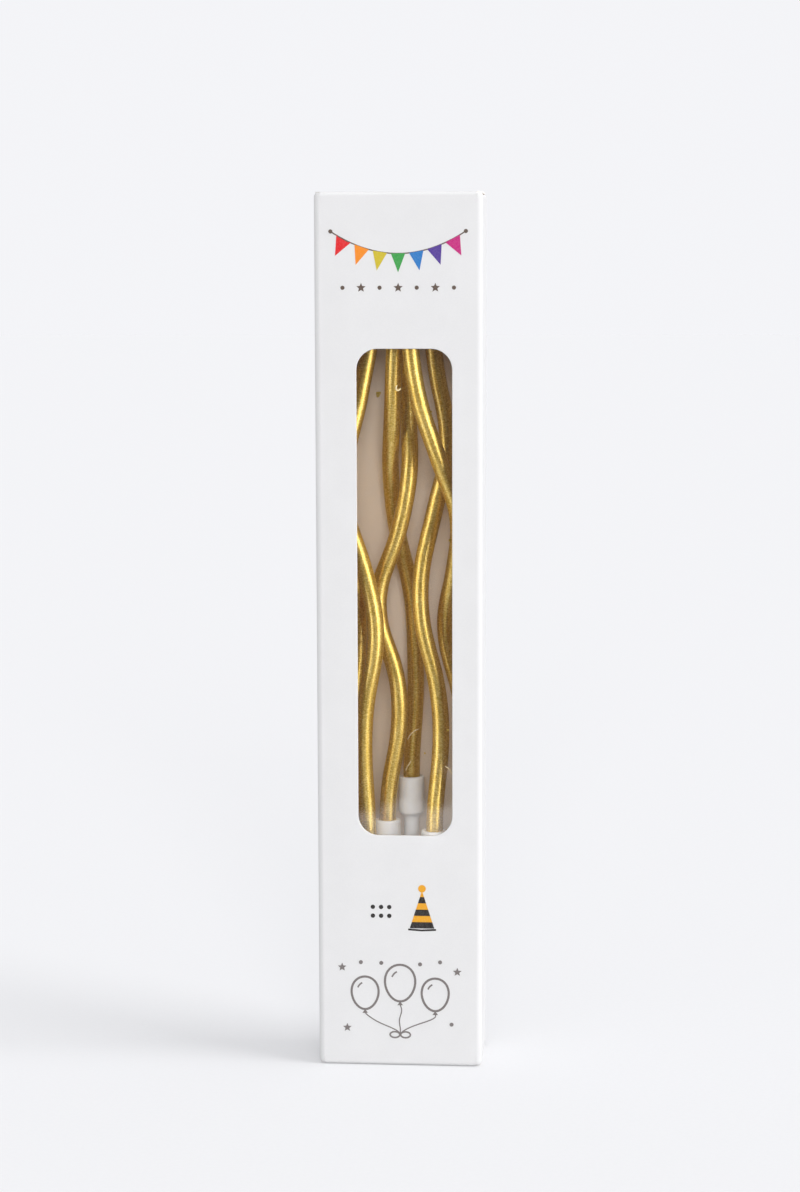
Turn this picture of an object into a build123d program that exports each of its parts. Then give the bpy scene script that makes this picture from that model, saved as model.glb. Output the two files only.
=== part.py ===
# Windowed carton holding six spiral birthday candles, each standing in its own push-in cake holder.
# Millimetres. X runs to the right, the front face looks along -Y, Z is up and the base lies on Z = 0.
import os
from math import cos, radians, sin, sqrt

from build123d import *

os.makedirs("parts", exist_ok=True)

# Carton card
CARTON_WIDTH = 40.0
CARTON_DEPTH = 20.0
CARD = 0.45
CREASE_RADIUS = 1.0
GLUE_FLAP_WIDTH = 7.5
GLUE = 0.05
GLUE_EDGE = 1.5

# Window in the front panel
WINDOW_WIDTH = 22.8
WINDOW_HEIGHT = 117.6
WINDOW_CORNER = 5.0
WINDOW_SHIFT = 1.35
WINDOW_SILL = 57.6
FILM = 0.1
FILM_MARGIN = 3.0
FILM_GLUE_INSET = 0.5

# Closures at the top and the base
LID_SIDE_GAP = 0.25
TUCK_LENGTH = 9.0
TUCK_GAP = 0.8
TUCK_SIDE_GAP = 1.2
TUCK_CORNER = 4.0
DUST_LENGTH = 16.0
DUST_FRONT_SLOPE = 0.55
DUST_REAR_SLOPE = 0.3
DUST_MARGIN = 0.6

# Candles
WAX_DIAMETER = 4.1
WAX_EXPOSED = 126.0
TIP_TAPER = 1.5
TIP_RIM = 0.4
WICK_DIAMETER = 1.0
WICK_FREE = 7.0
HEADSPACE = 9.0
WALL_GAP = 0.25

# Holders
CUP_WALL = 1.1
CUP_FIT = 0.05
CUP_DEPTH = 7.0
CUP_FLOOR = 2.0
SHOULDER = 1.0
STEM_DIAMETER = 3.7
SPIKE_LENGTH = 44.0
SPIKE_TIP = 0.8
SPIKE_TAPER = 26.4
TOUCH = 0.15

# Height of each holder's foot above the carton's floor: three stand on it, three are wedged higher
LIFT_CENTRE = 4.5
LIFT_REAR = 14.3
LIFT_RIGHT = 3.3

# Angle at which the centre cup leans on its left neighbour
CUP_LEAN = radians(48)

# Bends of each candle above its cup: share of the exposed wax, share across the room, share of its depth
BENDS = {
    1: [(0.20, -0.78, 0.80), (0.42, -0.645, 0.80), (0.68, -0.91, 0.50), (1.0, -0.84, 0.70)],
    2: [(0.22, -0.52, -0.80), (0.45, -0.365, -0.84), (0.56, -0.56, -0.80), (0.64, -0.76, -0.60),
        (0.74, -0.77, -0.45), (0.87, -0.57, -0.25), (1.0, -0.43, -0.10)],
    3: [(0.24, -0.04, -0.08), (0.45, -0.33, 0.02), (0.56, -0.06, -0.04), (0.67, 0.10, -0.05),
        (0.80, 0.07, 0.80), (1.0, 0.03, 0.85)],
    4: [(0.20, 0.165, 0.88), (0.38, 0.085, 0.86), (0.48, -0.09, 0.84), (0.58, -0.175, 0.72),
        (0.74, -0.12, -0.20), (1.0, -0.05, -0.40)],
    5: [(0.195, 0.56, -0.55), (0.495, 0.275, -0.25), (0.615, 0.455, 0.12), (0.725, 0.63, 0.22),
        (0.915, 0.45, 0.35), (1.0, 0.40, 0.35)],
    6: [(0.23, 0.85, 0.70), (0.44, 0.60, 0.52), (0.52, 0.72, 0.20), (0.63, 0.80, -0.45),
        (0.75, 0.52, -0.80), (0.86, 0.26, -0.90), (1.0, 0.14, -0.92)],
}

# Sizes that follow from those above
HALF_W = CARTON_WIDTH / 2
HALF_D = CARTON_DEPTH / 2
INNER_X = HALF_W - CARD
INNER_Y = HALF_D - CARD
FLOOR = 2 * CARD
CUP_RADIUS = WAX_DIAMETER / 2 + CUP_FIT + CUP_WALL
CUP_HEIGHT = CUP_DEPTH + CUP_FLOOR + SHOULDER
HOLDER_LENGTH = SPIKE_LENGTH + CUP_HEIGHT
CARTON_HEIGHT = 2 * FLOOR + LIFT_REAR + HOLDER_LENGTH + WAX_EXPOSED + WICK_FREE + HEADSPACE
ROOM_X = INNER_X - WAX_DIAMETER / 2 - WALL_GAP
ROOM_Y = INNER_Y - CARD - GLUE - WAX_DIAMETER / 2 - WALL_GAP
FILM_FACE = INNER_Y - GLUE - FILM
SEAM_Y = INNER_Y - GLUE
TUCK_BACK = SEAM_Y - CARD - TUCK_GAP


def keep(solid, name):
    solid.label = name
    export_step(solid, f"parts/{name}.step")


def quarter_fold(centre_x, centre_y, start_angle):
    # A crease in section: a quarter ring of card between two panels
    inner = CREASE_RADIUS - CARD
    with BuildLine() as section:
        outside = CenterArc((centre_x, centre_y), CREASE_RADIUS, start_angle, 90)
        inside = CenterArc((centre_x, centre_y), inner, start_angle, 90)
        Line(outside @ 0, inside @ 0)
        Line(outside @ 1, inside @ 1)
    make_face(section.edges())


def block(low, high):
    # A plain box between two corners
    size = [b - a for a, b in zip(low, high)]
    with BuildPart() as piece:
        with Locations(tuple((a + b) / 2 for a, b in zip(low, high))):
            Box(*size)
    return piece.part


# Front panel, with a rounded fold down both sides and the window cut through it
with BuildPart() as front_panel:
    with BuildSketch(Plane.XY.offset(CARD)):
        with Locations((0, -HALF_D + CARD / 2)):
            Rectangle(CARTON_WIDTH - 2 * CREASE_RADIUS, CARD)
        quarter_fold(-HALF_W + CREASE_RADIUS, -HALF_D + CREASE_RADIUS, 180)
        quarter_fold(HALF_W - CREASE_RADIUS, -HALF_D + CREASE_RADIUS, 270)
    extrude(amount=CARTON_HEIGHT - 2 * CARD)
    with BuildSketch(Plane.XZ.offset(HALF_D + 1)):
        with Locations((WINDOW_SHIFT, WINDOW_SILL + WINDOW_HEIGHT / 2)):
            RectangleRounded(WINDOW_WIDTH, WINDOW_HEIGHT, WINDOW_CORNER)
    extrude(amount=-(CARD + 1.5), mode=Mode.SUBTRACT)
keep(front_panel.part, "front_panel")

# Back panel: a fold on its right edge, a raw cut edge over the glued seam on its left
SEAM_EDGE = -HALF_W + 0.4 * CREASE_RADIUS
BACK_RIGHT = HALF_W - CREASE_RADIUS
with BuildPart() as back_panel:
    with BuildSketch(Plane.XY):
        with Locations(((SEAM_EDGE + BACK_RIGHT) / 2, HALF_D - CARD / 2)):
            Rectangle(BACK_RIGHT - SEAM_EDGE, CARD)
        quarter_fold(BACK_RIGHT, HALF_D - CREASE_RADIUS, 0)
    extrude(amount=CARTON_HEIGHT)
keep(back_panel.part, "back_panel")

# Side panels between the folds
SIDE_FRONT = -HALF_D + CREASE_RADIUS
SEAM_CENTRE_Y = SEAM_Y - CREASE_RADIUS
SIDE_LOW = 2 * CARD
SIDE_HIGH = CARTON_HEIGHT - 2 * CARD
keep(block((INNER_X, SIDE_FRONT, SIDE_LOW), (HALF_W, HALF_D - CREASE_RADIUS, SIDE_HIGH)), "right_panel")
keep(block((-HALF_W, SIDE_FRONT, SIDE_LOW), (-INNER_X, SEAM_CENTRE_Y, SIDE_HIGH)), "left_panel")

# Glue flap: folds off the left panel and lies inside the back panel, its ends cut at a slant
FLAP_END = -HALF_W + GLUE_FLAP_WIDTH
FLAP_SLANT = 0.5 * (GLUE_FLAP_WIDTH - CREASE_RADIUS)
with BuildPart() as glue_flap:
    with BuildSketch(Plane.XY.offset(SIDE_LOW)):
        quarter_fold(-HALF_W + CREASE_RADIUS, SEAM_CENTRE_Y, 90)
    extrude(amount=SIDE_HIGH - SIDE_LOW)
    with BuildSketch(Plane.XZ.offset(-SEAM_Y)):
        with BuildLine():
            Polyline(
                (-HALF_W + CREASE_RADIUS, SIDE_LOW),
                (FLAP_END, SIDE_LOW + FLAP_SLANT),
                (FLAP_END, SIDE_HIGH - FLAP_SLANT),
                (-HALF_W + CREASE_RADIUS, SIDE_HIGH),
                close=True,
            )
        make_face()
    extrude(amount=CARD)
keep(glue_flap.part, "glue_flap")

keep(
    block(
        (-HALF_W + CREASE_RADIUS + GLUE_EDGE, SEAM_Y, SIDE_LOW + FLAP_SLANT),
        (FLAP_END - GLUE_EDGE, INNER_Y, SIDE_HIGH - FLAP_SLANT),
    ),
    "seam_glue",
)

# Window film and the glue that holds it behind the front panel
FILM_WIDTH = WINDOW_WIDTH + 2 * FILM_MARGIN
FILM_HEIGHT = WINDOW_HEIGHT + 2 * FILM_MARGIN
WINDOW_MIDDLE = (WINDOW_SHIFT, WINDOW_SILL + WINDOW_HEIGHT / 2)
with BuildPart() as window_glue:
    with BuildSketch(Plane.XZ.offset(INNER_Y)):
        with Locations(WINDOW_MIDDLE):
            Rectangle(FILM_WIDTH - 2 * FILM_GLUE_INSET, FILM_HEIGHT - 2 * FILM_GLUE_INSET)
            RectangleRounded(
                WINDOW_WIDTH + 2 * FILM_GLUE_INSET,
                WINDOW_HEIGHT + 2 * FILM_GLUE_INSET,
                WINDOW_CORNER + FILM_GLUE_INSET,
                mode=Mode.SUBTRACT,
            )
    extrude(amount=-GLUE)
keep(window_glue.part, "window_glue")
with BuildPart() as window_film:
    with BuildSketch(Plane.XZ.offset(INNER_Y - GLUE)):
        with Locations(WINDOW_MIDDLE):
            Rectangle(FILM_WIDTH, FILM_HEIGHT)
    extrude(amount=-FILM)
keep(window_film.part, "window_film")

# Top closure: a lid on the front panel's crease, its tuck flap inside the back, two dust flaps beneath
TOP = CARTON_HEIGHT
MID_HEIGHT = Plane.XY.offset(CARTON_HEIGHT / 2)
lid = block(
    (-HALF_W + LID_SIDE_GAP, -HALF_D, TOP - CARD),
    (HALF_W - LID_SIDE_GAP, TUCK_BACK, TOP),
)
with BuildPart() as tuck:
    with BuildSketch(Plane.XZ.offset(-TUCK_BACK)):
        with Locations((0, TOP - CARD - TUCK_LENGTH / 2)):
            sheet = Rectangle(CARTON_WIDTH - 2 * TUCK_SIDE_GAP, TUCK_LENGTH)
        fillet(sheet.vertices().group_by(Axis.Y)[0], TUCK_CORNER)
    extrude(amount=CARD)
DUST_FRONT = -HALF_D + CREASE_RADIUS + DUST_MARGIN
DUST_BACK = TUCK_BACK - CARD - DUST_MARGIN
with BuildPart() as dust:
    with BuildSketch(Plane.XY.offset(TOP - 2 * CARD)):
        with BuildLine():
            Polyline(
                (-HALF_W, DUST_FRONT),
                (-HALF_W + DUST_LENGTH, DUST_FRONT + DUST_FRONT_SLOPE * DUST_LENGTH),
                (-HALF_W + DUST_LENGTH, DUST_BACK - DUST_REAR_SLOPE * DUST_LENGTH),
                (-HALF_W, DUST_BACK),
                close=True,
            )
        make_face()
    extrude(amount=CARD)
dust_right = mirror(dust.part, about=Plane.YZ)
for name, solid in (
    ("lid", lid),
    ("tuck", tuck.part),
    ("dust_left", dust.part),
    ("dust_right", dust_right),
):
    keep(mirror(solid, about=MID_HEIGHT), f"bottom_{name}")
    keep(solid, f"top_{name}")


def along(start, direction, length):
    return tuple(a + length * d for a, d in zip(start, direction))


def dot(a, b):
    return sum(p * q for p, q in zip(a, b))


def unit(a):
    return tuple(p / sqrt(dot(a, a)) for p in a)


def bend_directions(points):
    # The way a candle heads at each bend: upright at both ends, weighted to the nearer neighbour between
    ways = [(0, 0, 1)]
    for before, here, after in zip(points, points[1:], points[2:]):
        back = tuple(h - b for h, b in zip(here, before))
        ahead = tuple(a - h for a, h in zip(after, here))
        len_back = sqrt(dot(back, back))
        len_ahead = sqrt(dot(ahead, ahead))
        ways.append(unit(tuple(b * len_ahead / len_back + a * len_back / len_ahead for b, a in zip(back, ahead))))
    return ways + [(0, 0, 1)]


def winding(points):
    # Two tangent arcs between each pair of bends
    ways = bend_directions(points)
    for start, end, out, into in zip(points, points[1:], ways, ways[1:]):
        chord = tuple(e - s for s, e in zip(start, end))
        spread = 2 * (1 - dot(out, into))
        reach = dot(chord, tuple(a + b for a, b in zip(out, into)))
        length = dot(chord, chord)
        arm = length / (reach + sqrt(reach * reach + spread * length))
        first = along(start, out, arm)
        second = along(end, into, -arm)
        joint = tuple((a + b) / 2 for a, b in zip(first, second))
        TangentArc(start, joint, tangent=out)
        TangentArc(joint, end, tangent=unit(tuple(b - a for a, b in zip(first, second))))


# Holder: a cup on a tapering spike, turned about its own axis with the spike's point at the origin
with BuildPart() as holder:
    with BuildSketch(Plane.XZ):
        with BuildLine():
            Polyline(
                (0, 0),
                (SPIKE_TIP / 2, 0),
                (STEM_DIAMETER / 2, SPIKE_TAPER),
                (STEM_DIAMETER / 2, SPIKE_LENGTH),
                (CUP_RADIUS, SPIKE_LENGTH + SHOULDER),
                (CUP_RADIUS, HOLDER_LENGTH),
                (CUP_RADIUS - CUP_WALL, HOLDER_LENGTH),
                (CUP_RADIUS - CUP_WALL, HOLDER_LENGTH - CUP_DEPTH),
                (0, HOLDER_LENGTH - CUP_DEPTH),
                close=True,
            )
        make_face()
    revolve(axis=Axis.Z)

# Where each holder stands: the centre one rests its cup on its left neighbour's, two rest on the walls
LEFT_FOOT = (-0.475 * ROOM_X, -0.66 * ROOM_Y)
CUP_PITCH = 2 * CUP_RADIUS + TOUCH
FEET = {
    1: (-0.82 * ROOM_X, 0.55 * ROOM_Y, FLOOR),
    2: (*LEFT_FOOT, CARD),
    3: (LEFT_FOOT[0] + CUP_PITCH * cos(CUP_LEAN), LEFT_FOOT[1] + CUP_PITCH * sin(CUP_LEAN),
        FLOOR + LIFT_CENTRE),
    4: (0.10 * ROOM_X, INNER_Y - CUP_RADIUS - TOUCH, FLOOR + LIFT_REAR),
    5: (0.475 * ROOM_X, CUP_RADIUS + TOUCH - FILM_FACE, FLOOR + LIFT_RIGHT),
    6: (0.84 * ROOM_X, 0.40 * ROOM_Y, FLOOR),
}

for number, foot in FEET.items():
    mouth = (foot[0], foot[1], foot[2] + HOLDER_LENGTH)
    seat = (foot[0], foot[1], mouth[2] - CUP_DEPTH)
    bends = [mouth]
    for height, across, depth in BENDS[number]:
        bends.append((across * ROOM_X, depth * ROOM_Y, mouth[2] + height * WAX_EXPOSED))
    tip = bends[-1]
    with BuildLine() as core:
        Line(seat, mouth)
        winding(bends)
    with BuildPart() as wax:
        with BuildSketch(Plane(origin=seat)):
            Circle(WAX_DIAMETER / 2)
            Circle(WICK_DIAMETER / 2, mode=Mode.SUBTRACT)
        sweep(path=core.wire())
        with Locations(Location((tip[0], tip[1], tip[2] + TIP_TAPER / 2))):
            Cone(WAX_DIAMETER / 2, WICK_DIAMETER / 2 + TIP_RIM, TIP_TAPER)
            Cylinder(WICK_DIAMETER / 2, TIP_TAPER, mode=Mode.SUBTRACT)
    with BuildLine() as thread:
        Line(seat, mouth)
        winding(bends)
        Line(tip, (tip[0], tip[1], tip[2] + WICK_FREE))
    with BuildPart() as wick:
        with BuildSketch(Plane(origin=seat)):
            Circle(WICK_DIAMETER / 2)
        sweep(path=thread.wire())
    keep(wax.part, f"wax_{number}")
    keep(wick.part, f"wick_{number}")
    keep(holder.part.moved(Location(foot)), f"holder_{number}")
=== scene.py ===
import math
import random

import bmesh
import bpy
from mathutils import Matrix, Vector, noise


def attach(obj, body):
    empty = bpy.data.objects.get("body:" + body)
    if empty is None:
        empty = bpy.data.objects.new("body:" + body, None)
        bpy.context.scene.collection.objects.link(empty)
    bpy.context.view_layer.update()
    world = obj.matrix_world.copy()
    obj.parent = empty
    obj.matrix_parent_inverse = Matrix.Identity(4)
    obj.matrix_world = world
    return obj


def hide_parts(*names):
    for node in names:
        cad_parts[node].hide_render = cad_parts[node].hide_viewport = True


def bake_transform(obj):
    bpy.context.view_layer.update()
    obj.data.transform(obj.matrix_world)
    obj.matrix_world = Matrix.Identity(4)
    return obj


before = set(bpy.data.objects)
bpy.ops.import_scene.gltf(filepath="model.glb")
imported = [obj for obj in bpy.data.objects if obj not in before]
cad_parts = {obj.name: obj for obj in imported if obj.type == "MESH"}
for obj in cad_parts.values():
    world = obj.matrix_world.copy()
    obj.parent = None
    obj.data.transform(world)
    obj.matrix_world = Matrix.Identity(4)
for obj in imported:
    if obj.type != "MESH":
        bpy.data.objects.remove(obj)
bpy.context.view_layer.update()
scene = bpy.context.scene
scene.view_settings.view_transform = "Standard"

# Sizes in millimetres. The carton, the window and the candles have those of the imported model
MM = 0.001
HALF_W = 20.0
HALF_D = 10.0
HEIGHT = 212.1
CARD = 0.45
FOLD = 1.0
EDGE = 1.4
SEAM_Y = 9.5
BACK_EDGE = -19.6
FLAP_EDGE = -12.5
WINDOW_LEFT = -10.05
WINDOW_RIGHT = 12.75
WINDOW_SILL = 57.6
WINDOW_HEAD = 175.2
WINDOW_CORNER = 5.0
WINDOW_MIDDLE = 1.35
WINDOW_ROUND = 0.22
FILM_MARGIN = 3.0
FILM_FRONT = -9.5
FILM_BACK = -9.4
FILM_THICK = 0.05
FILM_SLACK = 0.02
LID_HALF = 19.75
LID_NECK = 18.55
LID_REAR = 7.3
TUCK_HALF = 18.8
TUCK_BACK = 8.25
TUCK_FOLD = 0.8
TUCK_END = HEIGHT - 9.45
TUCK_CORNER = 4.0
DUST_TOP = HEIGHT - CARD
DUST_END = 4.0
DUST_FRONT = (-8.4, 0.4)
DUST_REAR = (7.2, 2.4)
FRONT_END = 2.0
DUST_FOOT = 2.2
SIDE_END = 0.95
SIDE_FRONT = -8.5
SIDE_REAR = 7.3
BACK_START = 18.9
FLAP_END = 2.4
GLUE_END = 3.0
GLUE_TAPER = 3.5
LID_START = HEIGHT - FRONT_END
DUST_START = HEIGHT - DUST_FOOT

WAX_RADIUS = 2.05
WAX_EXPOSED = 126.0
WICK_RADIUS = 0.5
WICK_FREE = 7.0
WICK_SUNK = 3.0
CUP_RADIUS = 3.2
CUP_BORE = 2.1
CUP_DEPTH = 7.0
CUP_GAP = 0.15
HOLDER_LENGTH = 54.0
STEM_RADIUS = 1.85
SPIKE_TIP = 0.4
ROOM_X = 17.25
ROOM_Y = 6.75
INNER_Y = HALF_D - CARD
FLOOR = 2 * CARD


# Materials

# The span in which most of a noise texture's values lie
NOISE_SPAN = (0.3, 0.7)


def material(name):
    made = bpy.data.materials.new(name)
    made.use_nodes = True
    tree = made.node_tree
    return made, tree, tree.nodes["Principled BSDF"]


def stretched(tree, source, scale):
    mapping = tree.nodes.new("ShaderNodeMapping")
    mapping.inputs["Scale"].default_value = scale
    tree.links.new(source, mapping.inputs["Vector"])
    return mapping.outputs["Vector"]


def coordinates(tree, scale=(1.0, 1.0, 1.0)):
    place = tree.nodes.new("ShaderNodeTexCoord")
    return stretched(tree, place.outputs["Object"], scale)


def grain(tree, vector, scale, detail=3.0, rough=0.5):
    made = tree.nodes.new("ShaderNodeTexNoise")
    made.inputs["Scale"].default_value = scale
    made.inputs["Detail"].default_value = detail
    made.inputs["Roughness"].default_value = rough
    tree.links.new(vector, made.inputs["Vector"])
    return made.outputs["Fac"]


def ramp(tree, source, stops):
    made = tree.nodes.new("ShaderNodeValToRGB")
    band = made.color_ramp
    while len(band.elements) < len(stops):
        band.elements.new(0.5)
    for element, (place, colour) in zip(band.elements, stops):
        element.position = place
        element.color = (*colour, 1.0)
    tree.links.new(source, made.inputs["Fac"])
    return made.outputs["Color"]


def remap(tree, source, low, high, new_low, new_high):
    made = tree.nodes.new("ShaderNodeMapRange")
    for key, value in zip(("From Min", "From Max", "To Min", "To Max"), (low, high, new_low, new_high)):
        made.inputs[key].default_value = value
    tree.links.new(source, made.inputs["Value"])
    return made.outputs["Result"]


def bump(tree, height, strength, distance, base=None):
    made = tree.nodes.new("ShaderNodeBump")
    made.inputs["Strength"].default_value = strength
    made.inputs["Distance"].default_value = distance
    tree.links.new(height, made.inputs["Height"])
    if base is not None:
        tree.links.new(base, made.inputs["Normal"])
    return made.outputs["Normal"]


def speckled(name, noise_size, stops, gloss, relief, stretch=(1.0, 1.0, 1.0), settings=None):
    # One noise drives the colour, the gloss and the relief. The settings are the same all over
    made, tree, shader = material(name)
    speck = grain(tree, coordinates(tree, stretch), *noise_size)
    tree.links.new(ramp(tree, speck, stops), shader.inputs["Base Color"])
    if gloss is not None:
        tree.links.new(remap(tree, speck, *NOISE_SPAN, *gloss), shader.inputs["Roughness"])
    tree.links.new(bump(tree, speck, *relief), shader.inputs["Normal"])
    for key, value in (settings or {}).items():
        shader.inputs[key].default_value = value
    return made


def card_material(name, light, dark, rough, fibre):
    made, tree, shader = material(name)
    place = coordinates(tree)
    fine = grain(tree, place, 2600.0, 4.0, 0.6)
    broad = grain(tree, place, 160.0, 2.0)
    tint = ramp(tree, fine, [(0.3, dark), (0.7, light)])
    soft = ramp(tree, broad, [(0.35, (0.985, 0.985, 0.985)), (0.65, (1.0, 1.0, 1.0))])
    both = tree.nodes.new("ShaderNodeMix")
    both.data_type = "RGBA"
    both.blend_type = "MULTIPLY"
    both.inputs["Factor"].default_value = 1.0
    tree.links.new(tint, both.inputs["A"])
    tree.links.new(soft, both.inputs["B"])
    tree.links.new(both.outputs["Result"], shader.inputs["Base Color"])
    tree.links.new(remap(tree, fine, *NOISE_SPAN, rough - 0.06, rough + 0.06), shader.inputs["Roughness"])
    shader.inputs["Specular IOR Level"].default_value = 0.15
    tree.links.new(bump(tree, fine, fibre, 0.00006), shader.inputs["Normal"])
    return made


coated = card_material("coated_card", (0.74, 0.738, 0.74), (0.72, 0.718, 0.721), 0.62, 0.12)
# Inner face: pale board warmed to beige, a painted glow of light bounced off the gold candles
inside = card_material("card_inside_painted_bounce", (0.95, 0.825, 0.69), (0.90, 0.775, 0.64), 0.8, 0.3)
cut = card_material("card_cut_edge", (0.84, 0.83, 0.81), (0.76, 0.75, 0.72), 0.9, 0.4)
SHEET = [coated, inside, cut]


def gold_material():
    # Streaks run along the strand and flakes lie across it
    made, tree, shader = material("gold_coat")
    place = tree.nodes.new("ShaderNodeAttribute")
    place.attribute_name = "place_along"
    streak = grain(tree, stretched(tree, place.outputs["Vector"], (1.0, 1.0, 0.05)), 2.6, 2.0, 0.5)
    flake = grain(tree, stretched(tree, place.outputs["Vector"], (0.5, 0.5, 1.5)), 3.4, 2.0, 0.75)
    tone = tree.nodes.new("ShaderNodeMath")
    tone.operation = "ADD"
    tree.links.new(remap(tree, streak, *NOISE_SPAN, 0.0, 0.3), tone.inputs[0])
    tree.links.new(remap(tree, flake, *NOISE_SPAN, 0.0, 0.7), tone.inputs[1])
    colour = ramp(tree, tone.outputs[0], [(0.28, (0.60, 0.39, 0.060)), (0.5, (0.79, 0.54, 0.115)),
                                          (0.72, (0.94, 0.73, 0.25))])
    tree.links.new(colour, shader.inputs["Base Color"])
    shader.inputs["Metallic"].default_value = 0.88
    shader.inputs["Coat Weight"].default_value = 0.2
    shader.inputs["Coat Roughness"].default_value = 0.1
    tree.links.new(remap(tree, flake, *NOISE_SPAN, 0.34, 0.46), shader.inputs["Roughness"])
    ridges = bump(tree, streak, 0.02, 0.00002)
    tree.links.new(bump(tree, flake, 0.11, 0.00003, ridges), shader.inputs["Normal"])
    return made


gold = gold_material()
# Thin curled leaf of the coat, broken into creases; its paler, nearly non-metallic colour is a painted
# highlight for the light the peels catch
highlight_leaf = speckled("gold_leaf_painted_highlight", (3800.0, 3.0, 0.6), [(0.3, (0.92, 0.70, 0.30)), (0.65, (0.98, 0.88, 0.58))],
                (0.25, 0.45), (0.3, 0.00005), settings={"Metallic": 0.05})
cotton = speckled("cotton_wick", (9000.0, 4.0, 0.7), [(0.3, (0.70, 0.66, 0.57)), (0.7, (0.86, 0.83, 0.75))],
                  None, (0.5, 0.0001), (1.0, 1.0, 0.25), {"Roughness": 0.9})
plastic = speckled("milky_plastic", (420.0, 3.0), [(0.3, (0.92, 0.917, 0.91)), (0.7, (0.96, 0.957, 0.952))],
                   (0.33, 0.45), (0.08, 0.0001),
                   settings={"Subsurface Weight": 0.25, "Subsurface Radius": (1.0, 0.9, 0.8),
                             "Subsurface Scale": 0.0008})
glue = speckled("dried_glue", (700.0, 3.0), [(0.3, (0.70, 0.66, 0.54)), (0.7, (0.80, 0.77, 0.66))],
                (0.25, 0.5), (0.2, 0.0001))


def film_material():
    # Clear when seen straight on, a mirror at a grazing angle, with a faint veil all over
    made, tree, _ = material("clear_film")
    tree.nodes.clear()
    out = tree.nodes.new("ShaderNodeOutputMaterial")
    clear = tree.nodes.new("ShaderNodeBsdfTransparent")
    clear.inputs["Color"].default_value = (0.922, 0.922, 0.922, 1.0)
    shine = tree.nodes.new("ShaderNodeBsdfAnisotropic")
    shine.inputs["Color"].default_value = (1.0, 1.0, 1.0, 1.0)
    wave = grain(tree, coordinates(tree, (1.0, 1.0, 0.6)), 55.0, 2.0)
    veil = tree.nodes.new("ShaderNodeBsdfAnisotropic")
    veil.inputs["Color"].default_value = (0.09, 0.09, 0.09, 1.0)
    rough = remap(tree, wave, *NOISE_SPAN, 0.05, 0.12)
    waves = bump(tree, wave, 0.25, 0.004)
    for gloss in (shine, veil):
        tree.links.new(rough, gloss.inputs["Roughness"])
        tree.links.new(waves, gloss.inputs["Normal"])
    edge = tree.nodes.new("ShaderNodeLayerWeight")
    edge.inputs["Blend"].default_value = 0.5
    steep = tree.nodes.new("ShaderNodeMath")
    steep.operation = "POWER"
    steep.inputs[1].default_value = 5.0
    tree.links.new(edge.outputs["Facing"], steep.inputs[0])
    mix = tree.nodes.new("ShaderNodeMixShader")
    tree.links.new(remap(tree, steep.outputs[0], 0.0, 1.0, 0.0, 0.7), mix.inputs["Fac"])
    tree.links.new(clear.outputs["BSDF"], mix.inputs[1])
    tree.links.new(shine.outputs["BSDF"], mix.inputs[2])
    both = tree.nodes.new("ShaderNodeAddShader")
    tree.links.new(mix.outputs["Shader"], both.inputs[0])
    tree.links.new(veil.outputs["BSDF"], both.inputs[1])
    tree.links.new(both.outputs["Shader"], out.inputs["Surface"])
    return made


film = film_material()


# Mesh helpers

def make_object(name, points, faces, materials, kinds=None, sharp=35.0, places=None):
    mesh = bpy.data.meshes.new(name)
    mesh.from_pydata([Vector(p) * MM for p in points], [], faces)
    for entry in materials:
        mesh.materials.append(entry)
    mesh.polygons.foreach_set("use_smooth", [True] * len(faces))
    if kinds is not None:
        mesh.polygons.foreach_set("material_index", kinds)
    if places is not None:
        layer = mesh.attributes.new("place_along", "FLOAT_VECTOR", "POINT")
        layer.data.foreach_set("vector", [value for place in places for value in place])
    mesh.update()
    mesh.set_sharp_from_angle(angle=math.radians(sharp))
    made = bpy.data.objects.new(name, mesh)
    scene.collection.objects.link(made)
    return made


def thicken(points, inward, faces, depth):
    # A sheet: the given outside, the inside behind it and a wall along every cut edge
    count = len(points)
    behind = [Vector(p) + Vector(n) * depth for p, n in zip(points, inward)]
    solid = [list(face) for face in faces]
    kinds = [0] * len(faces)
    for face in faces:
        solid.append([count + i for i in reversed(face)])
        kinds.append(1)
    edges = {}
    for face in faces:
        for a, b in zip(face, list(face[1:]) + [face[0]]):
            edges[(a, b)] = True
    for a, b in edges:
        if (b, a) not in edges:
            solid.append([b, a, count + a, count + b])
            kinds.append(2)
    return [Vector(p) for p in points] + behind, solid, kinds


def sheet(points, inward, faces):
    solid, filled, kinds = thicken(points, inward, faces, CARD)
    return solid, filled, SHEET, kinds


def grid_faces(columns, rows, flip=False):
    faces = []
    for i in range(columns - 1):
        for j in range(rows - 1):
            face = [i * rows + j, (i + 1) * rows + j, (i + 1) * rows + j + 1, i * rows + j + 1]
            faces.append(face[::-1] if flip else face)
    return faces


def ring_faces(count, sides):
    # Walls between neighbouring rings and a cap on the first and the last
    faces = []
    for k in range(count - 1):
        for n in range(sides):
            m = (n + 1) % sides
            faces.append([k * sides + n, k * sides + m, (k + 1) * sides + m, (k + 1) * sides + n])
    last = (count - 1) * sides
    faces.append(list(range(sides))[::-1])
    faces.append([last + n for n in range(sides)])
    return faces


def unit(angle):
    return math.cos(math.radians(angle)), math.sin(math.radians(angle))


def steps(start, end, count):
    return [start + (end - start) * k / count for k in range(count + 1)]


def smooth(value):
    value = min(1.0, max(0.0, value))
    return value * value * (3 - 2 * value)


# The sleeve: one blank folded round the candles, from its glue flap to the back panel

BOW_LEVEL = 0.06
BOW_WAVE = 0.10
BOW_FADE = 14.0
EDGE_FADE = 6.0


def bow(along, z):
    # How far the card stands off its flat plane
    ends = smooth(min(z - FRONT_END, HEIGHT - FRONT_END - z) / BOW_FADE)
    wave = noise.noise((along / 17.0, z / 34.0, 4.7))
    return ends * (BOW_LEVEL + BOW_WAVE * wave)


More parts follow.
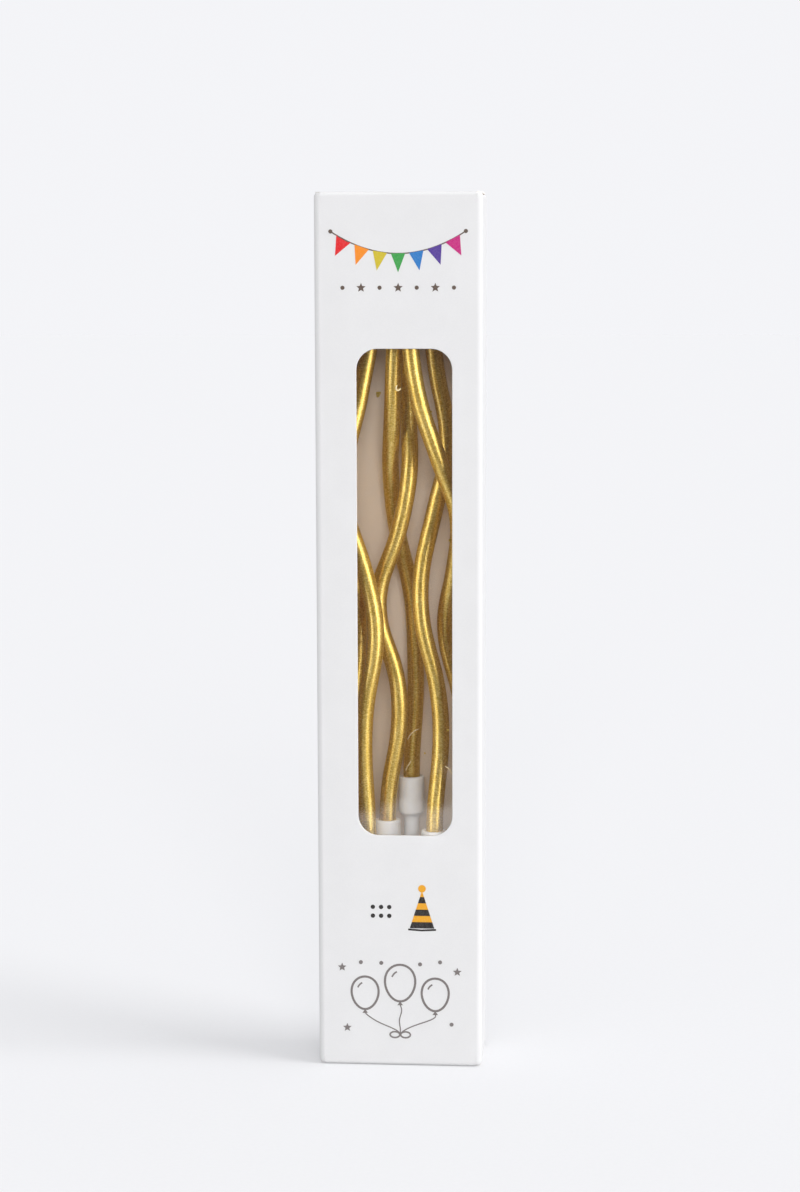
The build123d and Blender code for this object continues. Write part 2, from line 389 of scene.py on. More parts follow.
def corner(cx, cy, radius, start, count):
    made = []
    for angle in steps(start, start + 90.0, count):
        way = unit(angle)
        made.append((cx + radius * way[0], cy + radius * way[1], *way))
    return made


FRONT_X = [-18.5, -16.5, -14.0, -12.0, WINDOW_LEFT, WINDOW_LEFT + WINDOW_CORNER, -2.5, WINDOW_MIDDLE, 4.5,
           WINDOW_RIGHT - WINDOW_CORNER, WINDOW_RIGHT, 14.5, 16.5, 18.5]
END_ROWS = [FRONT_END, 2.3, 2.6, 3.0]
FRONT_Z = (END_ROWS + steps(FRONT_END, WINDOW_SILL, 10)[1:-1] + [WINDOW_SILL]
           + steps(WINDOW_SILL + WINDOW_CORNER, WINDOW_HEAD - WINDOW_CORNER, 20)
           + steps(WINDOW_HEAD, HEIGHT - FRONT_END, 7)[:-1]
           + [HEIGHT - rise for rise in reversed(END_ROWS)])
CORNER_END = 0.3
CORNER_CURL = 1.3
CURL_DEPTH = 0.75
RIM_HALF = 11.6
RIM_ROOM = 0.1
RIM_REAR = -9.0


def front_y(x, z):
    ends = smooth(min(HALF_W - EDGE - abs(x), EDGE_FADE) / EDGE_FADE)
    return -HALF_D - ends * bow(x, z)


def round_window(mesh):
    # The die leaves a rounded front edge round the window
    work = bmesh.new()
    work.from_mesh(mesh)
    bmesh.ops.delete(work, geom=[spot for spot in work.verts if not spot.link_faces], context="VERTS")
    rim = []
    for edge in work.edges:
        kinds = {face.material_index for face in edge.link_faces}
        middle = (edge.verts[0].co + edge.verts[1].co) / 2 / MM
        beside = abs(middle.x - WINDOW_MIDDLE) < RIM_HALF and middle.y < RIM_REAR
        level = WINDOW_SILL - RIM_ROOM < middle.z < WINDOW_HEAD + RIM_ROOM
        if kinds == {0, 2} and beside and level:
            rim.append(edge)
    bmesh.ops.bevel(work, geom=rim, offset=WINDOW_ROUND * MM, segments=2, profile=0.5, affect="EDGES")
    work.to_mesh(mesh)
    work.free()
    mesh.set_sharp_from_angle(angle=math.radians(20.0))


def sleeve():
    # Stations go round the carton: place, way out, distance from each end and kind
    stations = []

    def add(x, y, nx, ny, low, kind):
        stations.append((x, y, nx, ny, low, HEIGHT - low, kind))

    fold_x = HALF_W - FOLD
    dust_low = HEIGHT - DUST_START
    for x in steps(FLAP_EDGE, -fold_x, 5):
        add(x, SEAM_Y, 0.0, 1.0, GLUE_END + GLUE_TAPER * (x + fold_x) / (FLAP_EDGE + fold_x), "glue")
    for place in corner(-fold_x, SEAM_Y - FOLD, FOLD, 90.0, 8)[1:]:
        add(*place, FLAP_END, "fold")
    for y in (8.0, SIDE_REAR):
        add(-HALF_W, y, -1.0, 0.0, SIDE_END, "side")
    for y in steps(DUST_REAR[0], DUST_FRONT[0], 8):
        add(-HALF_W, y, -1.0, 0.0, dust_low, "side")
    add(-HALF_W, SIDE_FRONT, -1.0, 0.0, SIDE_END, "side")
    for place in corner(EDGE - HALF_W, EDGE - HALF_D, EDGE, 180.0, 10):
        add(*place, CORNER_END, "corner")
    first = len(stations)
    for x in FRONT_X:
        add(x, -HALF_D, 0.0, -1.0, FRONT_END, "front")
    for place in corner(HALF_W - EDGE, EDGE - HALF_D, EDGE, 270.0, 10):
        add(*place, CORNER_END, "corner")
    add(HALF_W, SIDE_FRONT, 1.0, 0.0, SIDE_END, "side")
    for y in steps(DUST_FRONT[0], DUST_REAR[0], 8):
        add(HALF_W, y, 1.0, 0.0, dust_low, "side")
    add(HALF_W, SIDE_REAR, 1.0, 0.0, SIDE_END, "side")
    for place in corner(fold_x, HALF_D - FOLD, FOLD, 0.0, 8):
        add(*place, SIDE_END, "fold")
    for x in steps(BACK_START, BACK_EDGE, 12):
        add(x, HALF_D, 0.0, 1.0, 0.0, "back")

    points = []
    inward = []
    for x, y, nx, ny, low, high, kind in stations:
        for z_front in FRONT_Z:
            z = low + (z_front - FRONT_END) / (HEIGHT - 2 * FRONT_END) * (high - low)
            shift = 0.0
            if kind == "front":
                shift = -HALF_D - front_y(x, z)
            elif kind == "corner":
                shift = -CURL_DEPTH * max(0.0, 1.0 - min(z, HEIGHT - z) / CORNER_CURL) ** 2
            elif kind == "side":
                shift = 0.5 * bow(y + 40.0 * nx, z) * smooth((9.0 - abs(y)) / 4.0)
            elif kind == "back":
                shift = -0.4 * abs(bow(x + 90.0, z)) * smooth((19.0 - abs(x)) / 5.0)
            points.append((x + nx * shift, y + ny * shift, z))
            inward.append((-nx, -ny, 0.0))
    rows = len(FRONT_Z)
    left = first + FRONT_X.index(WINDOW_LEFT)
    right = first + FRONT_X.index(WINDOW_RIGHT)
    bottom = FRONT_Z.index(WINDOW_SILL)
    top = FRONT_Z.index(WINDOW_HEAD)
    faces = []
    for i in range(len(stations) - 1):
        for j in range(rows - 1):
            if left <= i < right and bottom <= j < top:
                continue
            faces.append([i * rows + j, (i + 1) * rows + j, (i + 1) * rows + j + 1, i * rows + j + 1])
    for column, row, along, start in ((left, bottom, 1, 180.0), (right, bottom, -1, 270.0),
                                      (right, top, -1, 0.0), (left, top, 1, 90.0)):
        up = 1 if row == bottom else -1
        edge_x = WINDOW_LEFT if along > 0 else WINDOW_RIGHT
        edge_z = WINDOW_SILL if up > 0 else WINDOW_HEAD
        cx = edge_x + along * WINDOW_CORNER
        cz = edge_z + up * WINDOW_CORNER
        arc = []
        for angle in steps(start, start + 90.0, 12)[1:-1]:
            ux, uz = unit(angle)
            x = cx + WINDOW_CORNER * ux
            z = cz + WINDOW_CORNER * uz
            arc.append(len(points))
            points.append((x, front_y(x, z), z))
            inward.append((0.0, 1.0, 0.0))
        on_side = column * rows + row + up
        on_end = (column + along) * rows + row
        chain = [on_side] + arc + [on_end] if start in (180.0, 0.0) else [on_end] + arc + [on_side]
        tip = column * rows + row
        for a, b in zip(chain, chain[1:]):
            faces.append([tip, b, a])
    made = make_object("sleeve_card", *sheet(points, inward, faces))
    round_window(made.data)
    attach(made, "carton")
    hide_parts("front_panel", "back_panel", "left_panel", "right_panel", "glue_flap")


sleeve()


# Flaps of both ends, each with its crease

def at_end(end, z):
    return z if end == "top" else HEIGHT - z


def strip(name, end, rows, across, flip):
    points = []
    inward = []
    for u in across:
        for spot, way in rows(u):
            points.append((spot[0], spot[1], at_end(end, spot[2])))
            up = way[2] if end == "top" else -way[2]
            inward.append((-way[0], -way[1], -up))
    count = len(points) // len(across)
    faces = grid_faces(len(across), count, flip != (end == "bottom"))
    return make_object(name, *sheet(points, inward, faces))


ACROSS = [-1.0, -0.985, -0.95, -0.8, -0.6, -0.4, -0.2, 0.0, 0.2, 0.4, 0.6, 0.8, 0.95, 0.985, 1.0]


def lid_rows(u):
    made = []
    for z in steps(LID_START, HEIGHT - FOLD, 3)[:-1]:
        made.append(((u * LID_NECK, -HALF_D, z), (0.0, -1.0, 0.0)))
    for angle in steps(180.0, 90.0, 10):
        cy, cz = unit(angle)
        made.append(((u * LID_NECK, FOLD - HALF_D + FOLD * cy, HEIGHT - FOLD + FOLD * cz), (0.0, cy, cz)))
    for y in (-8.7, -8.4, -8.0, -7.0, -5.0, -3.0, -1.0, 1.0, 3.0, 5.0, 6.4, LID_REAR):
        half = LID_NECK + (LID_HALF - LID_NECK) * smooth(y + 9.0)
        made.append(((u * half, y, HEIGHT), (0.0, 0.0, 1.0)))
    return made


def tuck_rows(u):
    made = [((u * LID_HALF, LID_REAR, HEIGHT), (0.0, 0.0, 1.0))]
    for angle in steps(90.0, 0.0, 8):
        cy, cz = unit(angle)
        half = LID_HALF + (TUCK_HALF - LID_HALF) * (1.0 - angle / 90.0)
        y = TUCK_BACK - TUCK_FOLD + TUCK_FOLD * cy
        made.append(((u * half, y, HEIGHT - TUCK_FOLD + TUCK_FOLD * cz), (0.0, cy, cz)))
    drop = HEIGHT - TUCK_FOLD - TUCK_END
    for share in (0.15, 0.35, 0.5, 0.6, 0.7, 0.8, 0.88, 0.94, 0.98, 1.0):
        below = drop * share
        short = max(0.0, below - (drop - TUCK_CORNER))
        half = TUCK_HALF - (TUCK_CORNER - math.sqrt(max(0.0, TUCK_CORNER ** 2 - short ** 2)))
        made.append(((u * half, TUCK_BACK, HEIGHT - TUCK_FOLD - below), (0.0, 1.0, 0.0)))
    return made


def dust_rows(side):
    def rows(u):
        made = []

        def add(x, z, way):
            share = min(1.0, max(0.0, (HALF_W - abs(x)) / (HALF_W - DUST_END)))
            front = DUST_FRONT[0] + (DUST_FRONT[1] - DUST_FRONT[0]) * share
            rear = DUST_REAR[0] + (DUST_REAR[1] - DUST_REAR[0]) * share
            made.append(((side * x, front + (rear - front) * (u + 1) / 2, z), way))

        for z in steps(DUST_START, DUST_TOP - FOLD, 2)[:-1]:
            add(HALF_W, z, (side, 0.0, 0.0))
        for angle in steps(0.0, 90.0, 8):
            cx, cz = unit(angle)
            add(HALF_W - FOLD + FOLD * cx, DUST_TOP - FOLD + FOLD * cz, (side * cx, 0.0, cz))
        for x in steps(HALF_W - FOLD, DUST_END, 8)[1:]:
            add(x, DUST_TOP, (0.0, 0.0, 1.0))
        return made
    return rows


for end in ("top", "bottom"):
    lid = strip(f"{end}_lid_card", end, lid_rows, ACROSS, False)
    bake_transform(lid)
    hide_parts(f"{end}_lid")
    tuck = strip(f"{end}_tuck_card", end, tuck_rows, ACROSS, False)
    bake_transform(tuck)
    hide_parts(f"{end}_tuck")
    for label, side in (("left", -1), ("right", 1)):
        dust = strip(f"{end}_dust_{label}_card", end, dust_rows(side), steps(-1.0, 1.0, 6), side < 0)
        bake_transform(dust)
        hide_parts(f"{end}_dust_{label}")


# Window film, very slightly slack

def window_film():
    left = WINDOW_LEFT - FILM_MARGIN
    right = WINDOW_RIGHT + FILM_MARGIN
    low = WINDOW_SILL - FILM_MARGIN
    high = WINDOW_HEAD + FILM_MARGIN
    columns = 24
    rows = 80
    points = []
    inward = []
    for x in steps(left, right, columns):
        for z in steps(low, high, rows):
            slack = FILM_SLACK * noise.noise((x / 9.0, z / 14.0, 1.3))
            points.append((x, FILM_FRONT + FILM_SLACK + slack, z))
            inward.append((0.0, 1.0, 0.0))
    solid, faces, _ = thicken(points, inward, grid_faces(columns + 1, rows + 1), FILM_THICK)
    made = make_object("clear_window", solid, faces, [film])
    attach(made, "carton")
    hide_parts("window_film")


window_film()
for name in ("seam_glue", "window_glue"):
    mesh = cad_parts[name].data
    mesh.materials.clear()
    mesh.materials.append(glue)


# Printed design on the front: layers of ink a few hundredths of a millimetre thick

INK = 0.03
INK_STEP = 0.002


def ink_material(name, colour):
    worn = tuple(0.9 * value + 0.06 for value in colour)
    return speckled(f"ink_{name}", (2600.0, 4.0, 0.6), [(0.4, colour), (0.8, worn)], (0.40, 0.54),
                    (0.12, 0.00006), settings={"Specular IOR Level": 0.3})


INKS = {
    "red": (0.72, 0.018, 0.022),
    "orange": (0.86, 0.26, 0.015),
    "ochre": (0.60, 0.47, 0.028),
    "amber": (0.78, 0.36, 0.018),
    "green": (0.050, 0.34, 0.072),
    "blue": (0.028, 0.19, 0.52),
    "indigo": (0.095, 0.048, 0.30),
    "magenta": (0.54, 0.024, 0.20),
    "taupe": (0.125, 0.088, 0.068),
    "grey": (0.190, 0.168, 0.162),
    "black": (0.024, 0.020, 0.018),
}
ink = {name: ink_material(name, colour) for name, colour in INKS.items()}


def card_y(x, z):
    # The front as its mesh has it, between the corners of one of its cells
    i = max(k for k in range(len(FRONT_X) - 1) if FRONT_X[k] <= x)
    j = max(k for k in range(len(FRONT_Z) - 1) if FRONT_Z[k] <= z)
    u = (x - FRONT_X[i]) / (FRONT_X[i + 1] - FRONT_X[i])
    v = (z - FRONT_Z[j]) / (FRONT_Z[j + 1] - FRONT_Z[j])
    rows = []
    for row in (FRONT_Z[j], FRONT_Z[j + 1]):
        rows.append(front_y(FRONT_X[i], row) * (1 - u) + front_y(FRONT_X[i + 1], row) * u)
    return rows[0] * (1 - v) + rows[1] * v


def drawn(colour, width, route, closed=False):
    # A line of even width along a route of x and z
    spots = []
    count = len(route)
    for k, (x, z) in enumerate(route):
        before = route[k - 1] if closed or k else route[k]
        after = route[(k + 1) % count] if closed or k < count - 1 else route[k]
        way = Vector((after[0] - before[0], after[1] - before[1])).normalized() * width / 2
        spots += [(x - way.y, z + way.x), (x + way.y, z - way.x)]
    cells = []
    for k in range(count if closed else count - 1):
        a = 2 * k
        b = 2 * ((k + 1) % count)
        cells.append([a + 1, b + 1, b, a])
    return colour, spots, cells


def filled(colour, outline):
    # A solid shape, its outline running anticlockwise round its middle
    count = len(outline)
    middle = (sum(x for x, z in outline) / count, sum(z for x, z in outline) / count)
    return colour, outline + [middle], [[k, (k + 1) % count, count] for k in range(count)]


def round_outline(x, z, wide, high, count, start=0.0):
    made = []
    for k in range(count):
        angle = math.radians(start) + 2 * math.pi * k / count
        made.append((x + wide * math.cos(angle), z + high * math.sin(angle)))
    return made


def star(colour, x, z, size):
    outer = round_outline(x, z, size, size, 5, 90.0)
    inner = round_outline(x, z, 0.45 * size, 0.45 * size, 5, 126.0)
    return filled(colour, [spot for pair in zip(outer, inner) for spot in pair])


def spot(colour, x, z, size):
    return filled(colour, round_outline(x, z, size, size, 14))


def print_piece(name, patches):
    colours = []
    points = []
    faces = []
    kinds = []
    for layer, (colour, spots, cells) in enumerate(patches):
        if colour not in colours:
            colours.append(colour)
        depth = INK + INK_STEP * layer
        flat = [(x, card_y(x, z) - depth, z) for x, z in spots]
        solid, closed, _ = thicken(flat, [(0.0, 1.0, 0.0)] * len(flat), cells, depth)
        first = len(points)
        points += solid
        faces += [[first + i for i in face] for face in closed]
        kinds += [colours.index(colour)] * len(closed)
    made = make_object(name, points, faces, [ink[colour] for colour in colours], kinds)
    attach(made, "carton")


def garland():
    half = 16.0
    low = 197.6
    drop = 5.2
    apart = 4.3
    wide = 1.7
    tall = 4.4

    def hang(x):
        return low + drop * (x / half) ** 2

    patches = [drawn("taupe", 0.3, [(x, hang(x)) for x in steps(-half, half, 32)])]
    for n, colour in enumerate(("red", "orange", "ochre", "green", "blue", "indigo", "magenta")):
        x = apart * (n - 3)
        down = Vector((2 * drop * x / half ** 2, -1.0)).normalized() * tall
        pennant = [(x - wide, hang(x - wide)), (x + down.x, hang(x) + down.y), (x + wide, hang(x + wide))]
        patches.append(filled(colour, pennant))
    for side in (-1, 1):
        patches.append(spot("taupe", side * half, hang(half), 0.5))
    print_piece("print_garland", patches)


def row_of_stars():
    z = 189.6
    apart = 4.4
    patches = []
    for n in range(-3, 4):
        x = apart * n
        patches.append(star("taupe", x, z, 1.15) if n % 2 == 0 else spot("taupe", x, z, 0.5))
    print_piece("print_stars", patches)


def party_hat():
    middle = 5.4
    foot = 34.6
    tall = 9.4
    half = 3.0
    bands = 6
    patches = []
    for n in range(bands):
        low = n / bands
        high = (n + 1) / bands
        wide = half * (1 - low)
        narrow = half * (1 - high)
        outline = [(middle - wide, foot + tall * low), (middle + wide, foot + tall * low)]
        outline += [(middle + narrow, foot + tall * high), (middle - narrow, foot + tall * high)]
        patches.append(filled("amber" if n % 2 else "black", outline[:3] if n == bands - 1 else outline))
    brim = [(middle - half - 0.4, foot - 0.3), (middle, foot - 0.5), (middle + half + 0.4, foot - 0.3)]
    patches.append(drawn("black", 0.45, brim))
    patches.append(spot("amber", middle, foot + tall + 0.5, 0.95))
    print_piece("print_hat", patches)


def six_dots():
    patches = []
    for x in (-6.6, -4.6, -2.6):
        for z in (37.6, 39.8):
            patches.append(spot("black", x, z, 0.55))
    print_piece("print_dots", patches)


def balloons():
    tie = (0.0, 7.8)
    patches = []
    for x, z, wide, high in ((-8.6, 18.2, 3.3, 4.1), (0.0, 20.8, 3.7, 4.6), (8.6, 18.0, 3.3, 4.1)):
        outline = []
        for px, pz in round_outline(x, z, wide, high, 36):
            outline.append((x + (px - x) * (1.0 + 0.10 * (pz - z) / high), pz))
        patches.append(drawn("grey", 0.55, outline, True))
        knot = z - high
        patches.append(filled("grey", [(x, knot), (x - 0.7, knot - 0.95), (x + 0.7, knot - 0.95)]))
        shine = round_outline(x, z, 0.62 * wide, 0.66 * high, 36)[11:16]
        patches.append(drawn("grey", 0.4, shine))
        string = []
        for share in steps(0.0, 1.0, 18):
            sway = 0.45 * math.sin(2.6 * math.pi * share) * (1 - share)
            across = x + (tie[0] - x) * smooth(share) + sway
            string.append((across, knot - 0.9 + (tie[1] - knot + 0.9) * share))
        patches.append(drawn("grey", 0.28, string))
    for side in (-1, 1):
        patches.append(drawn("grey", 0.4, round_outline(side * 1.3, tie[1], 1.2, 0.75, 16), True))
    for x, z in ((-14.2, 24.6), (14.0, 23.8), (-13.0, 9.4)):
        patches.append(star("grey", x, z, 1.1))
    for x, z in ((-4.6, 25.8), (4.9, 25.6), (12.6, 10.6), (-9.6, 25.9), (9.8, 26.2)):
        patches.append(spot("grey", x, z, 0.5))
    print_piece("print_balloons", patches)


garland()
row_of_stars()
party_hat()
six_dots()
balloons()


# Candles: bends as shares of the exposed wax, of the room across and of the room in depth

BENDS = {
    1: [(0.20, -0.78, 0.80), (0.42, -0.645, 0.80), (0.68, -0.91, 0.50), (1.0, -0.84, 0.70)],
    2: [(0.22, -0.52, -0.80), (0.45, -0.365, -0.84), (0.56, -0.56, -0.80), (0.64, -0.76, -0.60),
        (0.74, -0.77, -0.45), (0.87, -0.57, -0.25), (1.0, -0.43, -0.10)],
    3: [(0.24, -0.04, -0.08), (0.45, -0.33, 0.02), (0.56, -0.06, -0.04), (0.67, 0.10, -0.05),
        (0.80, 0.07, 0.80), (1.0, 0.03, 0.85)],
    4: [(0.20, 0.165, 0.88), (0.38, 0.085, 0.86), (0.48, -0.09, 0.84), (0.58, -0.175, 0.72),
        (0.74, -0.12, -0.20), (1.0, -0.05, -0.40)],
    5: [(0.195, 0.56, -0.55), (0.495, 0.275, -0.25), (0.615, 0.455, 0.12), (0.725, 0.63, 0.22),
        (0.915, 0.45, 0.35), (1.0, 0.40, 0.35)],
    6: [(0.23, 0.85, 0.70), (0.44, 0.60, 0.52), (0.52, 0.72, 0.20), (0.63, 0.80, -0.45),
        (0.75, 0.52, -0.80), (0.86, 0.26, -0.90), (1.0, 0.14, -0.92)],
}
LEFT_FOOT = (-0.475 * ROOM_X, -0.66 * ROOM_Y)
CUP_PITCH = 2 * CUP_RADIUS + CUP_GAP
PITCH_ANGLE = math.radians(48)
FEET = {
    1: (-0.82 * ROOM_X, 0.55 * ROOM_Y, FLOOR),
    2: (*LEFT_FOOT, CARD),
    3: (LEFT_FOOT[0] + CUP_PITCH * math.cos(PITCH_ANGLE),
        LEFT_FOOT[1] + CUP_PITCH * math.sin(PITCH_ANGLE), FLOOR + 4.5),
    4: (0.10 * ROOM_X, INNER_Y - CUP_RADIUS - CUP_GAP, FLOOR + 14.3),
    5: (0.475 * ROOM_X, CUP_RADIUS + CUP_GAP + FILM_BACK, FLOOR + 3.3),
    6: (0.84 * ROOM_X, 0.40 * ROOM_Y, FLOOR),
}


def bend_ways(points):
    ways = [Vector((0, 0, 1))]
    for before, here, after in zip(points, points[1:], points[2:]):
        back = here - before
        ahead = after - here
        way = back * (ahead.length / back.length) + ahead * (back.length / ahead.length)
        ways.append(way.normalized())
    return ways + [Vector((0, 0, 1))]


def arc_points(start, knee, end, count):
    # A round arc from start to end whose tangents meet at the knee
    weight = max(0.05, (knee - start).normalized().dot((end - start).normalized()))
    made = []
    for t in steps(0.0, 1.0, count)[1:]:
        a = (1 - t) ** 2
        b = 2 * weight * t * (1 - t)
        c = t ** 2
        made.append((start * a + knee * b + end * c) / (a + b + c))
    return made


def candle_line(number):
    foot = FEET[number]
    mouth = Vector((foot[0], foot[1], foot[2] + HOLDER_LENGTH))
    bends = [mouth]
    for height, across, depth in BENDS[number]:
        bends.append(Vector((across * ROOM_X, depth * ROOM_Y, mouth.z + height * WAX_EXPOSED)))
    ways = bend_ways(bends)
    line = [mouth - Vector((0, 0, CUP_DEPTH)), mouth]
    for start, end, out, into in zip(bends, bends[1:], ways, ways[1:]):
        chord = end - start
        spread = 2 * (1 - out.dot(into))
        reach = chord.dot(out + into)
        arm = chord.length_squared / (reach + math.sqrt(reach ** 2 + spread * chord.length_squared))
        first = start + out * arm
        second = end - into * arm
        middle = (first + second) / 2
        line += arc_points(start, first, middle, 40)
        line += arc_points(middle, second, end, 40)
    return resample(line, 0.6)


def resample(line, step):
    lengths = [0.0]
    for a, b in zip(line, line[1:]):
        lengths.append(lengths[-1] + (b - a).length)
    count = round(lengths[-1] / step)
    made = []
    k = 0
    for target in steps(0.0, lengths[-1], count):
        while k < len(line) - 2 and lengths[k + 1] < target:
            k += 1
        share = (target - lengths[k]) / max(1e-9, lengths[k + 1] - lengths[k])
        made.append(line[k].lerp(line[k + 1], share))
    return made


def ease(line, width):
    # Running mean, narrower towards the ends, so that each bend runs smoothly into the next
    made = []
    for k in range(len(line)):
        reach = min(width, k, len(line) - 1 - k)
        span = line[k - reach:k + reach + 1]
        made.append(sum(span, Vector()) / len(span))
    return made


def tube(line, radii, sides, twist=None):
    # Rings carried along the line without turning, closed at both ends
    points = []
    places = []
    along = 0.0
    side = Vector((1, 0, 0))
    for k, place in enumerate(line):
        way = (line[min(k + 1, len(line) - 1)] - line[max(k - 1, 0)]).normalized()
        side = (side - way * side.dot(way)).normalized()
        other = way.cross(side)
        if k:
            along += (place - line[k - 1]).length
        for n in range(sides):
            angle = 2 * math.pi * n / sides
            radius = radii[k] if twist is None else radii[k] * twist(angle, along)
            points.append(place + (side * math.cos(angle) + other * math.sin(angle)) * radius)
            places.append((radius * math.cos(angle), radius * math.sin(angle), along))
    return points, ring_faces(len(line), sides), places


TIP_PROFILE = [(0.25, 1.97), (0.55, 1.84), (0.85, 1.62), (1.1, 1.36), (1.35, 1.05), (1.5, 0.80),
               (1.75, 0.66), (2.1, 0.58)]
# The pieces that the tall screens light
strands = bpy.data.collections.new("strands")


def candle(number):
    line = ease(candle_line(number), 6)
    tip = line[-1]
    radii = []
    for k in range(len(line)):
        radii.append(WAX_RADIUS * (1.0 + 0.010 * noise.noise((number * 7.3, 0.0, k / 9.0))))
    for rise, radius in TIP_PROFILE:
        line.append(tip + Vector((0, 0, rise)))
        radii.append(radius)
    points, faces, places = tube(line, radii, 32)
    places = [(x + 11.0 * number, y, z) for x, y, z in places]
    wax = make_object(f"wax_coat_{number}", points, faces, [gold], places=places, sharp=60.0)
    strands.objects.link(wax)
    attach(wax, f"candle_{number}")
    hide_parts(f"wax_{number}")
    lean = random.Random(number)
    sway = Vector((lean.uniform(-0.4, 0.4), lean.uniform(-0.4, 0.4), 0.0))
    cord = []
    for z in steps(-WICK_SUNK, WICK_FREE, 50):
        cord.append(tip + Vector((0, 0, z)) + sway * smooth(max(0.0, z) / WICK_FREE))
    thick = [WICK_RADIUS] * len(cord)
    thick[-2:] = [WICK_RADIUS * 0.9, WICK_RADIUS * 0.6]

    def lobes(angle, along):
        return 0.86 + 0.14 * math.cos(3 * angle + along * 2.1)

    points, faces, _ = tube(cord, thick, 24, lobes)
    wick = make_object(f"wick_cord_{number}", points, faces, [cotton], sharp=60.0)
    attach(wick, f"candle_{number}")
    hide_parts(f"wick_{number}")


HOLDER_PROFILE = [
    (0.12, 0.0), (0.30, 0.08), (SPIKE_TIP, 0.35), (0.75, 7.0), (1.15, 16.0), (1.62, 23.5), (1.8, 26.6),
    (STEM_RADIUS, 29.0), (STEM_RADIUS, 36.0), (STEM_RADIUS, 42.8), (1.92, 43.6), (2.12, 44.05), (2.6, 44.5),
    (2.98, 44.8), (3.13, 45.05), (CUP_RADIUS, 45.4), (CUP_RADIUS, 48.0), (CUP_RADIUS, 51.0),
    (CUP_RADIUS, 53.5), (3.16, 53.75), (3.05, 53.92), (2.85, 54.0), (2.38, 54.0), (2.22, 53.93),
    (2.14, 53.75), (CUP_BORE, 53.4), (CUP_BORE, 50.0), (CUP_BORE, 47.2), (1.9, 47.0), (0.3, 47.0),
]


def holder(number):
    foot = Vector(FEET[number])
    sides = 48
    points = []
    for radius, z in HOLDER_PROFILE:
        for n in range(sides):
            angle = 2 * math.pi * n / sides
            points.append(foot + Vector((radius * math.cos(angle), radius * math.sin(angle), z)))
    faces = ring_faces(len(HOLDER_PROFILE), sides)
    made = make_object(f"holder_cup_{number}", points, faces, [plastic], sharp=50.0)
    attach(made, f"holder_{number}")
    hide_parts(f"holder_{number}")


for number in FEET:
    candle(number)
    holder(number)


# Crumbs of gold coat inside the film, and two slivers peeling from one candle

FLECKS = [(-4.9, 164.5, 0.78), (7.7, 160.3, 0.36), (9.8, 169.0, 0.30), (-3.6, 146.9, 0.36),
          (12.2, 129.7, 0.46), (12.2, 95.4, 0.30), (11.7, 83.6, 0.34), (6.1, 77.9, 0.30)]
FLECK_FACE = FILM_FRONT + 0.06
FLECK_THICK = 0.12
FLECK_CORNERS = 11


def film_flecks():
    chance = random.Random(11)
    points = []
    faces = []
    for x, z, size in FLECKS:
        rim = []
        for px, pz in round_outline(x, z, size, size, FLECK_CORNERS):
            share = chance.uniform(0.55, 1.1)
            rim.append((x + (px - x) * share, FLECK_FACE + chance.uniform(0.0, 0.02), z + (pz - z) * share))
        rim.append((x, FLECK_FACE, z))
        cells = [[k, (k + 1) % FLECK_CORNERS, FLECK_CORNERS] for k in range(FLECK_CORNERS)]
        solid, closed, _ = thicken(rim, [(0.0, 1.0, 0.0)] * len(rim), cells, FLECK_THICK)
        first = len(points)
        points += solid
        faces += [[first + i for i in face] for face in closed]
    places = [(p[0], p[2], 0.0) for p in points]
    made = make_object("film_flecks", points, faces, [gold], places=places)
    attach(made, "carton")


def sliver(name, body, route, thick):
    line = ease(resample([Vector(p) for p in route], 0.12), 5)
    radii = []
    for k in range(len(line)):
        grown = smooth(6.0 * min(k, len(line) - 1 - k) / len(line))
        radii.append(thick * (0.35 + 0.65 * grown))
    points, faces, places = tube(line, radii, 8)
    # The leaf material's pale colour is a painted highlight
    made = make_object(name, points, faces, [highlight_leaf], places=places, sharp=60.0)
    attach(made, body)


CURL = [(x, FLECK_FACE + 0.1, z) for x, z in round_outline(-0.15, 165.9, 0.56, 0.68, 12, 100.0)[:10]]
HAIR = [(x, FLECK_FACE + 0.08, z) for x, z in ((10.9, 74.8), (11.9, 74.2), (12.8, 72.7))]
UPPER_PEEL = [(0.75, 4.7, 78.2), (1.35, 4.15, 79.6), (2.4, 3.95, 80.7), (3.3, 4.3, 81.2), (3.8, 4.5, 81.3)]
LOWER_PEEL = [(0.4, 4.75, 70.6), (0.55, 4.5, 71.4), (1.15, 4.15, 72.3), (1.55, 4.0, 72.9), (1.8, 3.7, 73.5)]
film_flecks()
sliver("film_curl", "carton", CURL, 0.2)
sliver("film_hair", "carton", HAIR, 0.09)
sliver("wax_peel_upper", "candle_4", UPPER_PEEL, 0.17)
sliver("wax_peel_lower", "candle_4", LOWER_PEEL, 0.18)


# Floor in millimetres, light and camera in metres and degrees

BACKDROP = (0.905, 0.908, 0.935)
FLOOR_LIFT = 0.255
FLOOR_REACH = 6000.0
FLOOR_FRONT = -312.0
FLOOR_LEVEL = -0.02
SCREEN_TALL = 1.4
SCREEN_LEVEL = 0.25
CAMERA_TURN = (4.48, 7.44, -0.16)
CAMERA_PLACE = (0.0485, -0.6260, 0.1969)


def shown_rays(tree):
    # One for rays that show the backdrop: straight from the camera, mirrored or through the film
    rays = tree.nodes.new("ShaderNodeLightPath")
    level = rays.outputs["Is Camera Ray"]
    for kind in ("Is Glossy Ray", "Is Transmission Ray"):
        either = tree.nodes.new("ShaderNodeMath")
        either.operation = "MAXIMUM"
        tree.links.new(level, either.inputs[0])
        tree.links.new(rays.outputs[kind], either.inputs[1])
        level = either.outputs[0]
    return level


